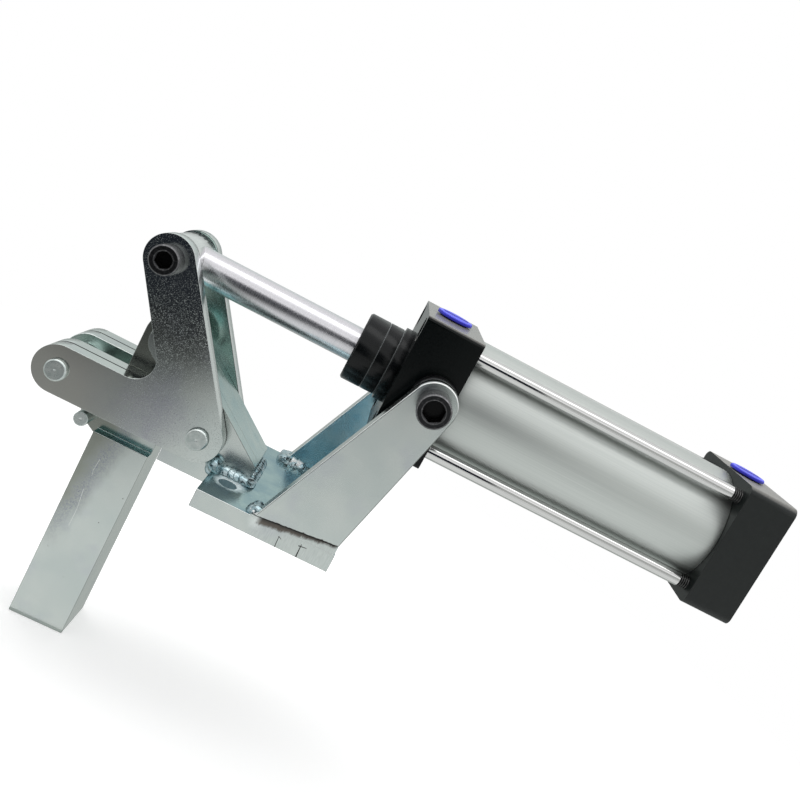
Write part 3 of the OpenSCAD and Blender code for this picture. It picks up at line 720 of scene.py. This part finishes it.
def lever_tones(f, coat, rough, height):
    """Adds the warm arm and the violet cloud."""
    face = f.between(f.facing("Y") * -1, 0.9, 0.98)
    arm = f.between(f.axis("X") + f.axis("Z") * 0.3, -112, -84, 1, 0) * face
    coat = f.mix(arm * 0.6, coat, srgb(200, 196, 188))
    cloud = f.between(f.from_centre(violet_at) + f.noise(9, 3, 0.6) * 24 - 12, 8, 27, 1, 0) * face
    grains = f.between(f.noise(0.7, 3, 0.65), 0.4, 0.6)
    coat = f.mix(cloud * f.between(grains, 0, 1, 0.25, 1) * 0.5, coat, srgb(152, 147, 168))
    return coat, rough + grains * cloud * 0.1, height + grains * cloud * 0.006, 1.0


# The front lever gets a faint painted highlight on its upper edges and painted shade in the gap
lever_coat = zinc("zinc_lever", gloss=0.12, flakes=0.3, wave=0.012, turned=15, marks=lever_tones,
                  gap_side=-1, gap_y=lever_in, smooth_near=centre_of("link_pin"), edge_light=0.35)
# The rear lever's front faces get painted reflection, its upper edges a painted highlight and the gap
# painted shade
rear_lever_coat = zinc("zinc_rear_lever", gloss=0.2, flakes=0.1, wave=0.02, turned=-10, edge_light=0.5,
                       gap_side=-1, gap_y=lever_in,
                       facing_paint=("Y", -1, srgb(214, 232, 226), srgb(186, 214, 206)))
report(lever_coat, rear_lever_coat)

# %% [markdown]
# ## Marks on the bar
#
# Above a slanting, cloudy line the bar's front is painted darker, as painted reflection, and
# work has left long hair scratches and a few specks of dirt in it. The line is a distance, as the
# seam's is, and noise makes it wander. The scratches and specks are few, so each is given by its
# own place.

# %% Bar marks
# The cloudy line goes through a point this far left of and below the middle, and leans a little
line_left, line_below = 91.6, 5.5
line_faces = (0.985, 0.173)
hair_scratches = [
    ((-95.9, -15.8), (-96.6, -23.2), 0.28),
    ((-96.6, -23.0), (-95.9, -26.7), 0.22),
    ((-96.9, -35.6), (-95.5, -47.2), 0.26),
    ((-95.5, -47.0), (-95.6, -58.8), 0.2),
]
dirt_specks = [(-75.6, -30.6, 0.45), (-100.9, -75.0, 0.4), (-101.5, -86, 0.3), (-86, -88, 0.35)]


def bar_marks(f, coat, rough, height):
    """Adds the painted reflection that darkens the upper part, the mottled band, the hair scratches and
    the specks.
    """
    face = f.between(f.facing("Y") * -1, 0.9, 0.98)
    past = (f.axis("X") + line_left) * line_faces[0] - (f.axis("Z") + line_below) * line_faces[1]
    wander = past + f.noise(16, 3, 0.6) * 14 - 7
    fade = f.between(f.axis("Z"), -78, -48) * face
    # Painted reflection: the upper part of the front is darker above the wandering line
    dark = f.between(wander, -9, 9, 1, 0) * fade
    band = f.between(f.size(wander + 1), 1, 7, 1, 0) * fade
    fleck = f.between(f.noise(0.9, 3, 0.65), 0.4, 0.62)
    coat = f.mix(dark * 0.9, coat, srgb(140, 144, 136))
    coat = f.mix(band * fleck * 0.7, coat, srgb(142, 146, 160))
    mark = f.strokes(hair_scratches)
    coat = f.mix(mark * face * 0.55, coat, srgb(246, 248, 244))
    speck = 0
    for x, z, radius in dirt_specks:
        speck = f.most(speck, (f.from_centre((x, z)) + f.noise(0.6, 2, 0.5) * 0.3) < radius)
    coat = f.mix(speck * face * 0.85, coat, srgb(60, 52, 44))
    return coat, rough + band * fleck * 0.08, height - mark * face * 0.02, 1.0


# The bar's top faces get painted reflection, a teal
arm_coat = zinc("zinc_arm", gloss=0.2, flakes=0.06, wave=0.03, turned=-35, marks=bar_marks,
                facing_paint=("Z", 1, srgb(160, 212, 212), srgb(120, 188, 190)))
report(arm_coat)

# %% [markdown]
# ## Weld metal
#
# The weld was plated with the rest, over its ripples and its heat marks, so it is glossy, bluer
# than the plates, and lumpy. The lumps and ripples are real shape, made further down. What is
# too fine for the mesh, the pits and the blue patches, is made here with noise.

# %% Weld finish
def weld_metal():
    f = Finish("weld_metal")
    patches = f.noise(4, 3, 0.6)
    coat = f.mix(f.between(patches, 0.35, 0.65), srgb(176, 190, 193), srgb(124, 152, 159))
    rough = f.between(f.noise(1.2, 3, 0.6), 0.3, 0.7, 0.18, 0.34)
    height = f.noise(0.5, 2, 0.5) * 0.008 + f.noise(1.6, 2, 0.5) * 0.05
    return f.done(Base_Color=coat, Metallic=1.0, Roughness=rough, Normal=f.relief(height))


weld = weld_metal()
report(weld)

# %% [markdown]
# ## Turned pins
#
# The pins' ends were faced on a lathe before plating, which leaves rings round their middle.
# The rings are far too fine to cut into the mesh, so they are relief only: a sine of the
# distance from the pin's axis.

# %% Pin finish
def pin_steel(name, centre):
    """Steel with lathe rings round the given X and Z."""
    f = Finish(name)
    rings = f.maths("SINE", f.from_centre(centre) * 12 + f.noise(3, 2, 0.5) * 2)
    fine = f.noise(0.5, 2, 0.6)
    coat = f.mix(f.between(f.noise(2.4, 3, 0.6), 0.35, 0.7), srgb(202, 208, 206), srgb(176, 186, 184))
    rough = f.between(fine, 0.3, 0.7, 0.24, 0.4)
    height = rings * 0.0006 + fine * 0.006 + f.noise(2.5, 2, 0.5) * 0.006
    return f.done(Base_Color=coat, Metallic=1.0, Roughness=rough, Normal=f.relief(height))


pins = ("arm_pivot_pin", "lever_pivot_pin", "link_pin", "stop_pin", "arm_link_pin",
        "arm_link_pin_ends", "link_spacer", "rod_eye_pin")
pin_coats = {pin: pin_steel("pin_" + pin, centre_of(pin)) for pin in pins}
report(*pin_coats.values())

# %% [markdown]
# ## Black screws
#
# Socket screws have a black oxide skin, worn in places. The rim of the head and the mouth of the
# socket carry a painted highlight, uneven with the wear, and the socket gets dark painted shade.
# The side of the head has a straight knurl, so that fingers can turn it. Cut into the mesh it
# would take thousands of faces, so it is a sine of the angle round the screw's axis, kept to
# the outer radius.

# %% Screw finish
def black_oxide(name, centre=None, head_r=1, hex_r=1, socket_y=1):
    """Black skin; given a centre, also a head's knurl, a painted highlight on its rim, and painted shade
    in the socket below socket_y.
    """
    f = Finish(name)
    worn = f.between(f.noise(1.6, 4, 0.7), 0.5, 0.72)
    skin = f.mix(worn * 0.5, srgb(34, 35, 37), srgb(80, 79, 80))
    rough = f.between(f.noise(0.8, 2, 0.6), 0.3, 0.7, 0.24, 0.42)
    height = f.noise(0.5, 2, 0.6) * 0.008
    if centre:
        knurl_lines = 60
        radius = f.from_centre(centre)
        angle = f.maths("ARCTAN2", f.axis("Z") - centre[1], f.axis("X") - centre[0])
        side = radius > head_r - 0.35
        knurl = f.between(f.maths("SINE", angle * knurl_lines), -0.4, 0.7)
        height = height + knurl * side * f.between(worn, 0, 1, 0.05, 0.015)
        skin = f.mix(side * f.between(worn, 0, 1, 0.4, 0.75), skin, srgb(122, 122, 124))
        # Painted highlight on the head's rim and the socket's mouth, uneven with wear
        rim = f.between(f.size(radius - (head_r - 0.55)), 0.05, 0.3, 1, 0)
        mouth = f.between(f.size(radius - (hex_r + 0.3)), 0.05, 0.35, 0.6, 0)
        outer = f.size(f.facing("Y")) > 0.3
        edge_light = f.most(rim, mouth) * outer * f.between(worn, 0, 1, 0.35, 0.9)
        skin = f.mix(edge_light, skin, srgb(158, 158, 160))
        # Painted shade: the socket is near black where light does not reach
        socket = (radius < hex_r) * (f.size(f.axis("Y")) < socket_y)
        skin = f.mix(socket * 0.93, skin, srgb(4, 4, 5))
    return f.done(Base_Color=skin, Metallic=0.75, Roughness=rough, Normal=f.relief(height))


lever_screw_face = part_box("lever_screws")[1].y / mm
lever_screw_coat = black_oxide("oxide_lever_screws", centre_of("lever_screws"), head_r=8, hex_r=4.7,
                               socket_y=lever_screw_face - 0.6)
trunnion_screw_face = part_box("trunnion_screws")[1].y / mm
trunnion_screw_coat = black_oxide("oxide_trunnion_screws", centre_of("trunnion_screws"), head_r=9,
                                  hex_r=5.8, socket_y=trunnion_screw_face - 0.7)
nut_coat = black_oxide("oxide_nuts")
spacer_coat = black_oxide("oxide_spacers")
report(lever_screw_coat, trunnion_screw_coat, nut_coat, spacer_coat)

# %% [markdown]
# ## Black anodised covers
#
# The two covers and the gland are machined aluminium with a black anodic skin: satin and very
# dark straight on. On the covers the top faces get painted light, a grey for the lamp above, a
# little uneven with the dust. A plain black would look like a hole, so the skin has faint
# machining lines, dust and a few light nicks. The lines run along the covers' faces and round
# the gland, which was turned and has two grooves, whose lips carry a painted highlight.

# %% Cover finish
def black_anodised(name, skin_tone, dust_tone, gloss, turned_at=None, specular=0.32):
    """Black skin; turned_at holds the X of each groove on a turned piece."""
    f = Finish(name)
    dust = f.between(f.noise(2.6, 4, 0.7), 0.4, 0.8)
    top = f.between(f.facing("Z"), 0.6, 0.95)
    skin = f.mix(dust * 0.5, skin_tone, dust_tone)
    # On the covers the top faces get painted light, a grey for the lamp above, varied a little by the
    # dust
    if turned_at is None:
        skin = f.mix(top * f.between(dust, 0, 1, 0.7, 0.9), skin, srgb(132, 130, 126))
    nicks = f.scratches(35, 0.1, 3, -0.06)
    skin = f.mix(nicks * 0.6, skin, srgb(120, 124, 122))
    rough = f.between(f.noise(0.7, 2, 0.6), 0.3, 0.7, gloss * 0.9, gloss * 1.25)
    if turned_at is None:
        lines = f.noise(1, 2, 0.6, f.place(0.04, 3.5, 3.5))
    else:
        lines = f.noise(1, 2, 0.6, f.place(4.0, 0.03, 0.03))
        for groove in turned_at:
            # Painted highlight on the lip of each groove
            groove_glint = f.between(f.size(f.axis("X") - groove), 0.2, 0.4, 1, 0)
            skin = f.mix(groove_glint * 0.7, skin, srgb(116, 120, 121))
    height = lines * 0.003 + f.noise(0.35, 2, 0.5) * 0.004
    return f.done(Base_Color=skin, Metallic=0.0, Roughness=rough, Specular_IOR_Level=specular,
                  Normal=f.relief(height))


gland_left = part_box("rod_gland")[0].x / mm
grooves = (gland_left + 12.25, gland_left + 20.45)
head_coat = black_anodised("black_head", srgb(2, 7, 7), srgb(4, 9, 9), gloss=0.2, specular=0.2)
cap_coat = black_anodised("black_cap", srgb(22, 27, 26), srgb(32, 37, 36), gloss=0.34)
gland_coat = black_anodised("black_gland", srgb(5, 8, 10), srgb(8, 12, 14), gloss=0.24,
                            specular=0.24, turned_at=grooves)
report(head_coat, cap_coat, gland_coat)

# %% [markdown]
# ## Cylinder tube, rod and tie rods
#
# The tube is drawn aluminium, anodised satin: long faint die lines and a soft, wide
# reflection. The piston rod is ground and hard chromed, close to a mirror, with hair-fine
# grinding marks round it. The tie rods are bright drawn steel with lines along them and a
# thread where they go into the end cap. All three could share one metal, but fine lines tell how
# a bar was made, so each has noise drawn out the way its tool went.

# %% Tube finish
def tube_satin():
    f = Finish("tube_satin")
    die_lines = f.noise(1, 3, 0.6, f.place(0.01, 1.6, 1.6))
    skin = f.mix(f.between(die_lines, 0.3, 0.7), srgb(202, 206, 203), srgb(192, 197, 194))
    rough = f.between(f.noise(1, 2, 0.6, f.place(0.02, 2.2, 2.2)), 0.3, 0.7, 0.42, 0.48)
    height = die_lines * 0.002 + f.noise(0.35, 2, 0.5) * 0.0012
    return f.done(Base_Color=skin, Metallic=1.0, Roughness=rough, Normal=f.relief(height))


tube_coat = tube_satin()
report(tube_coat)

# %% Rod finish
def hard_chrome():
    f = Finish("hard_chrome")
    ground = f.noise(1, 2, 0.6, f.place(7, 0.05, 0.05))
    skin = f.mix(f.between(ground, 0.3, 0.7), srgb(218, 217, 220), srgb(206, 205, 210))
    rough = f.between(ground, 0.3, 0.7, 0.25, 0.31)
    return f.done(Base_Color=skin, Metallic=1.0, Roughness=rough, Normal=f.relief(ground * 0.0006))


rod_coat = hard_chrome()
report(rod_coat)

# %% Tie rod finish
def drawn_steel(thread_from):
    """Bright bar with a threaded end past the given X."""
    thread_pitch = 1.25
    f = Finish("drawn_steel")
    lines = f.noise(1, 3, 0.6, f.place(0.02, 5, 5))
    x = f.axis("X")
    thread = x > thread_from
    turns = f.maths("SINE", x * (2 * math.pi / thread_pitch))
    skin = f.mix(f.between(lines, 0.3, 0.7), srgb(216, 216, 214), srgb(196, 196, 196))
    skin = f.mix(thread * 0.92, skin, srgb(44, 44, 44))
    rough = f.between(lines, 0.3, 0.7, 0.07, 0.14) + thread * 0.25
    height = lines * 0.0015 + thread * turns * 0.25
    return f.done(Base_Color=skin, Metallic=1.0, Roughness=rough, Normal=f.relief(height))


cap_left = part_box("cylinder_tube")[1].x / mm
thread_shows = 5.5
tie_rod_coat = drawn_steel(cap_left - thread_shows)
report(tie_rod_coat)

# %% [markdown]
# ## Small parts
#
# Two bright blue plugs close the air ports. They are moulded, so they are smooth with a faint
# flow pattern, and a slot for a coin crosses each. The top of a plug's rim carries a painted
# highlight, and its slot and the foot of its rim carry painted shade. The seals are black
# rubber, the bush is bronze, the guide ring is a brown filled plastic, and the rod's eye, the
# piston and its sleeves are turned. Most of these only show when the cylinder is taken apart, so
# two recipes, one for moulded and one for turned pieces, are enough, each with its own colours.

# %% Moulded pieces
def moulded(name, colour, shade, rough, slot=None):
    """Moulded skin; slot holds its centre along X, length, width and the plug's top, and brings a
    painted highlight on the rim's top and painted shade in the slot and under the rim.
    """
    f = Finish(name)
    flow = f.noise(5, 2, 0.5)
    skin = f.mix(f.between(flow, 0.3, 0.7), colour, shade)
    if slot:
        centre_x, length, width, top = slot
        x = f.size(f.axis("X") - centre_x)
        z = f.axis("Z")
        # Painted shade in the slot
        inside = (x < length / 2) * (f.size(f.axis("Y")) < width / 2)
        # Painted shadow on the plug's lower part, under its rim
        under = f.between(z, top - 2.2, top - 1.7, 1, 0)
        # Painted highlight on the top of the rim
        rim = f.between(f.facing("Z"), 0.5, 0.9) * (f.from_centre((centre_x, 0), "XY") > 8)
        skin = f.mix(rim * 0.5, skin, srgb(112, 118, 236))
        skin = f.mix(f.most(inside, under) * 0.9, skin, srgb(10, 8, 70))
    return f.done(Base_Color=skin, Metallic=0.0,
                  Roughness=f.between(f.noise(0.6, 2, 0.5), 0.3, 0.7, rough * 0.85, rough * 1.2),
                  Normal=f.relief(f.noise(0.5, 2, 0.5) * 0.006))


slot_length, slot_width = 15, 3.4
plug_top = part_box("port_plug_head")[1].z / mm
plug_coats = {}
for plug in ("port_plug_head", "port_plug_cap"):
    slot = (centre_of(plug)[0], slot_length, slot_width, plug_top)
    plug_coats[plug] = moulded("blue_" + plug, srgb(46, 50, 214), srgb(36, 38, 190), 0.45, slot)
rubber = moulded("black_rubber", srgb(34, 34, 34), srgb(26, 26, 26), 0.6)
ring_coat = moulded("guide_ring", srgb(120, 78, 46), srgb(96, 62, 38), 0.5)
report(*plug_coats.values(), rubber, ring_coat)

# %% Turned pieces
def lathe_turned(name, colour, shade, rough):
    f = Finish(name)
    rings = f.noise(1, 2, 0.6, f.place(5, 0.04, 0.04))
    skin = f.mix(f.between(rings, 0.3, 0.7), colour, shade)
    return f.done(Base_Color=skin, Metallic=1.0,
                  Roughness=f.between(rings, 0.3, 0.7, rough * 0.8, rough * 1.3),
                  Normal=f.relief(rings * 0.004))


eye_coat = lathe_turned("turned_eye", srgb(224, 225, 223), srgb(206, 208, 208), 0.12)
bush_coat = lathe_turned("bronze_bush", srgb(176, 128, 70), srgb(150, 104, 54), 0.35)
piston_coat = lathe_turned("bare_aluminium", srgb(214, 216, 218), srgb(196, 198, 202), 0.25)
sleeve_coat = lathe_turned("turned_sleeves", srgb(200, 200, 198), srgb(180, 180, 180), 0.2)
report(eye_coat, bush_coat, piston_coat, sleeve_coat)

# %% [markdown]
# ## Easing the edges
#
# No real edge is sharp: a cut plate has a slight round where it was deburred, and that round
# catches light in a thin bright line along it, which the finishes strengthen with a painted
# highlight on upper edges. The edges could be cut back by hand, but the frame's meshes have to
# stay as they are, so modifiers do it: one joins the mesh at its seams, one makes its flat
# faces whole, and one rounds every edge over thirty degrees.

# %% Eased edges
def ease_edges(piece, round_mm):
    """Joins, cleans and rounds a piece, all by modifiers."""
    join = piece.modifiers.new("join", "WELD")
    join.merge_threshold = 0.01 * mm
    whole = piece.modifiers.new("whole_faces", "DECIMATE")
    whole.decimate_type = "DISSOLVE"
    whole.angle_limit = math.radians(1)
    ease = piece.modifiers.new("ease", "BEVEL")
    ease.width = round_mm * mm
    ease.segments = 3
    ease.limit_method = "ANGLE"
    ease.angle_limit = math.radians(30)
    ease.harden_normals = True


def dress(coats, round_mm):
    """Gives each piece its finish and, unless it is 0, a round of that many millimetres."""
    for node, coat in coats.items():
        piece = nodes[node]
        piece.data.materials.clear()
        piece.data.materials.append(coat)
        if round_mm:
            ease_edges(piece, round_mm)
    print("rounded by", round_mm, "mm:", ", ".join(coats))


# %% [markdown]
# ## Dressing the pieces
#
# Every piece now gets its finish and its own round. The rounds could all be one size, but on
# the real clamp they aren't: cut plates that hands touch are eased most, turned parts have a
# fine chamfer, and the web and the ground welds are flush with the plates beside them, so
# rounding would open a groove. The pieces are listed from the sharpest to the roundest.

# %% Dress the frame and the linkage
dress({"frame_web": web_coat, "bracket_welds": bracket_coat}, 0)
dress({"base_plate": base_coat, "frame_side_front": front_side, "frame_side_rear": rear_side}, 0.25)
dress(pin_coats, 0.25)
dress({"clamp_arm": arm_coat, "lever_screws": lever_screw_coat}, 0.3)
dress({"link_front": link_coat, "link_rear": link_coat}, 0.45)
dress({"lever_front": lever_coat, "lever_rear": rear_lever_coat}, 0.55)
dress({"bracket_front": bracket_coat, "bracket_rear": rear_bracket_coat}, 0.65)
dress({"rod_eye": eye_coat}, 0.8)

# %% Dress the cylinder
dress({"rod_gland": gland_coat}, 0.12)
dress({seal: rubber for seal in ("rod_wiper", "rod_seal", "tube_seals", "piston_seals")}, 0.2)
dress({"rod_bush": bush_coat, "wear_ring": ring_coat, "piston": piston_coat,
       "cushion_sleeves": sleeve_coat}, 0.2)
dress({"cylinder_tube": tube_coat, "piston_rod": rod_coat, "tie_rods": tie_rod_coat,
       "tie_rod_nuts": nut_coat, "trunnion_spacers": spacer_coat}, 0.3)
dress(plug_coats, 0.3)
dress({"trunnion_screws": trunnion_screw_coat}, 0.35)
dress({"cylinder_head": head_coat}, 0.45)
dress({"end_cap": cap_coat}, 0.5)

# %% [markdown]
# ## The weld runs
#
# A weld run is metal that froze in ripples: each pool lay on the last one, so the bead is a row
# of crescents with lumps where the welder paused. It could be sculpted by hand, but a recipe
# gives the same bead each time. The frame's welds have the right run and thickness already,
# and only lack the lump where the welder started. Pools of metal are balls. Bead and balls are
# turned into one skin of small even faces, and then every point is moved along its own
# direction by two sizes of noise, and back into crescents with its distance from the wall.

# %% Pools of metal
def pools_of_metal(name, pools, onto=None):
    """Round pools of weld metal, each with its centre and radius in millimetres, as one mesh.

    If onto is given, that mesh comes with them.
    """
    build = bmesh.new()
    if onto:
        build.from_mesh(onto)
    for x, y, z, radius in pools:
        bmesh.ops.create_icosphere(build, subdivisions=3, radius=radius * mm,
                                   matrix=Matrix.Translation(Vector((x, y, z)) * mm))
    mesh = bpy.data.meshes.new(name)
    build.to_mesh(mesh)
    build.free()
    piece = bpy.data.objects.new(name, mesh)
    bpy.context.scene.collection.objects.link(piece)
    return piece


start_lump = (-37.6, -frame_half - 3.2, base_top + 2.8, 4.7)
frame_bead = pools_of_metal("frame_weld_bead", [start_lump], nodes["frame_welds"].data)
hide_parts("frame_welds")
print(frame_bead.name, "has", len(frame_bead.data.polygons), "faces before it melts")

# %% Melting
def melt(piece, swell, bow=0.0, against_y=0.0, reach=1.0, grain=0.4, settle_steps=9):
    """Turns a mesh into one lumpy skin, all in millimetres.

    swell is the height of its lumps and grain the size of its faces. bow is how far a ring lags
    behind once it is reach away from the wall at against_y, which makes crescents.
    """
    skin = piece.modifiers.new("one_skin", "REMESH")
    skin.mode = "VOXEL"
    skin.voxel_size = grain * mm
    settle = piece.modifiers.new("settle", "SMOOTH")
    settle.iterations = settle_steps
    shaped = piece.evaluated_get(bpy.context.evaluated_depsgraph_get())
    mesh = bpy.data.meshes.new_from_object(shaped)
    piece.modifiers.clear()
    piece.data = mesh
    moved = []
    for vertex in mesh.vertices:
        at = vertex.co / mm
        lump = noise.noise(at / 4.5) * swell + noise.noise(at / 1.7) * swell * 0.3
        from_wall = min(abs(at.y) - against_y, at.z - base_top) / reach
        lag = max(0, min(1, from_wall)) * bow
        moved.append(vertex.co + (vertex.normal * lump - Vector((lag, 0, 0))) * mm)
    for vertex, place in zip(mesh.vertices, moved):
        vertex.co = place
    mesh.shade_smooth()
    mesh.materials.clear()
    mesh.materials.append(weld)
    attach(piece, "frame")
    print(piece.name, "has", len(mesh.polygons), "faces")


melt(frame_bead, 0.35, bow=1.8, against_y=frame_half, reach=3.2, grain=0.33, settle_steps=4)

# %% The brackets' inner beads
# Pools of uneven size, from the lump at the left foot inwards, each a little smaller
bead_r = 4.7
pool_step = 2.6
pool_shrink = 0.25
foot_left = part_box("bracket_front")[0].x / mm
bracket_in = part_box("bracket_rear")[0].y / mm
for side, name in ((-1, "front"), (1, "rear")):
    uneven = random.Random(side + 5)
    pools = [(foot_left - 0.6, side * (bracket_in + 4.6), base_top + 0.6, bead_r)]
    for step in range(6):
        x = foot_left - 0.5 + step * pool_step
        radius = bead_r + 0.3 - step * pool_shrink + uneven.uniform(-0.5, 0.5)
        pools.append((x, side * (bracket_in - uneven.uniform(0.2, 1.4)), base_top - 0.3, radius))
    melt(pools_of_metal("bracket_weld_" + name, pools), 1.1)
print("dressed nodes:", len([n for n in nodes.values() if n.data.materials]))

# %% [markdown]
# The dressed model has to stay inside the box of the frame.
